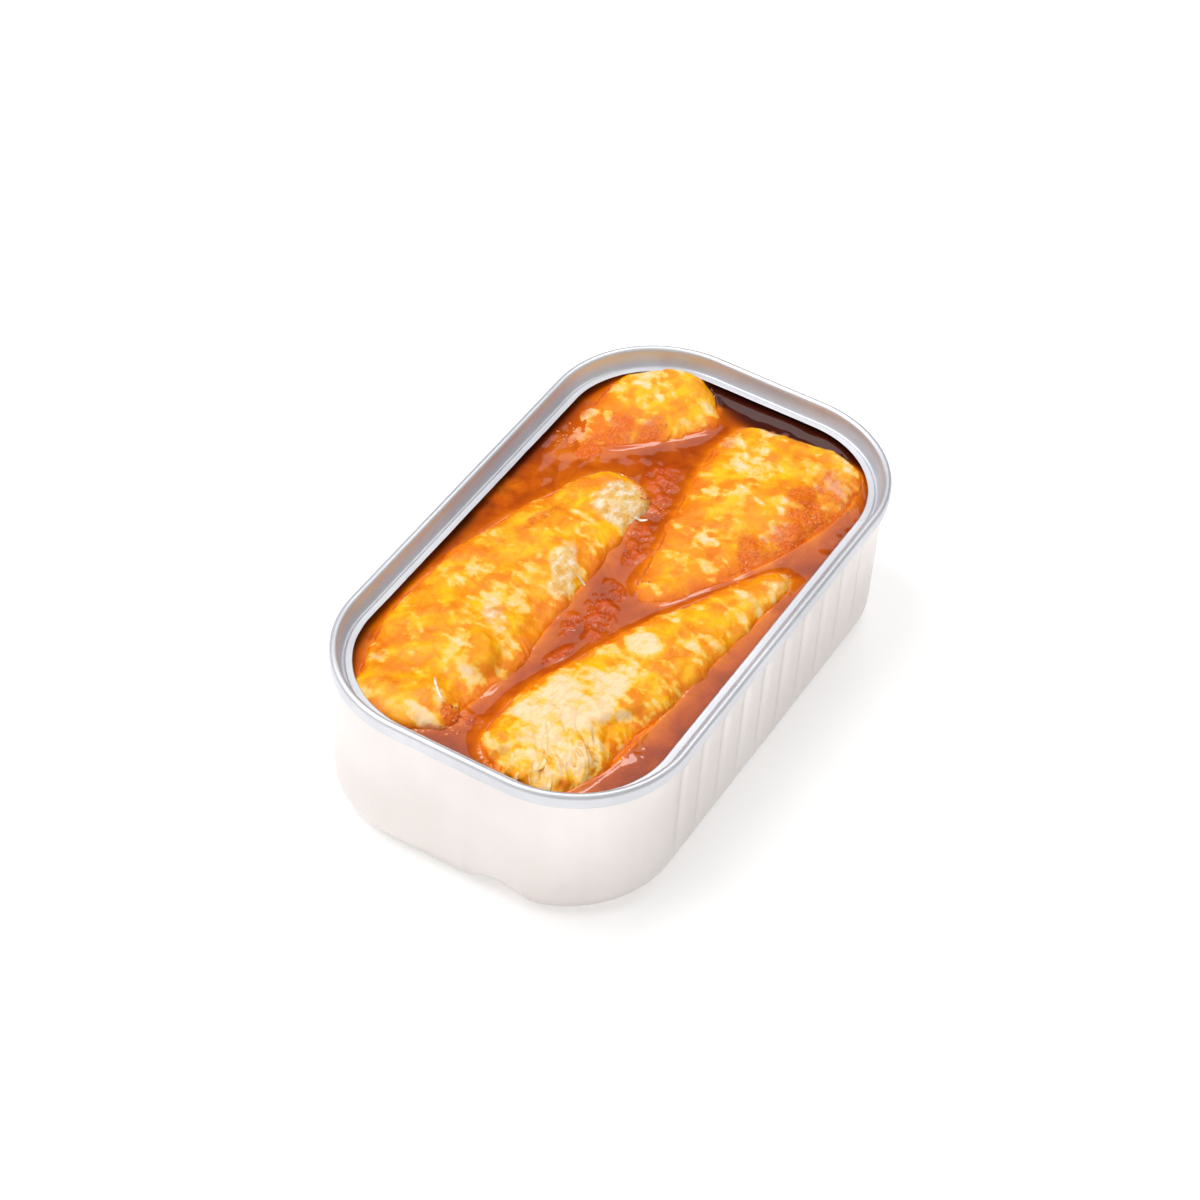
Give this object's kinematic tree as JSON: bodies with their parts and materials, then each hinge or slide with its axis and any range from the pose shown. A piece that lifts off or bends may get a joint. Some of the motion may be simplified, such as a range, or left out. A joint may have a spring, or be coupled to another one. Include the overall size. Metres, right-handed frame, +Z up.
{
  "type": "opened sardine tin",
  "caption": "Opened aluminium tin of trimmed sardines in tomato oil, with fluted sides, round corners and the seamed ring of its peeled lid.",
  "frame": {"origin": "centre of the base, at the level that the tin stands on", "axes": "+X along the tin's length, away from the end with the dent; +Y across it; +Z up, out of the opening"},
  "size_m": [0.105, 0.0616, 0.0284],
  "materials": {
    "tin": "satin",
    "lid_ring": "satin",
    "sauce": "glossy, wet",
    "sardine_back": "wet",
    "sardine_front": "wet"
  },
  "bodies": {
    "root": {"tin_body": "tin", "lid_ring": "lid_ring", "sauce": "sauce", "sardine_back_left": "sardine_back", "sardine_back_right": "sardine_back", "sardine_front_left": "sardine_front", "sardine_front_right": "sardine_front"}
  },
  "joints": []
}
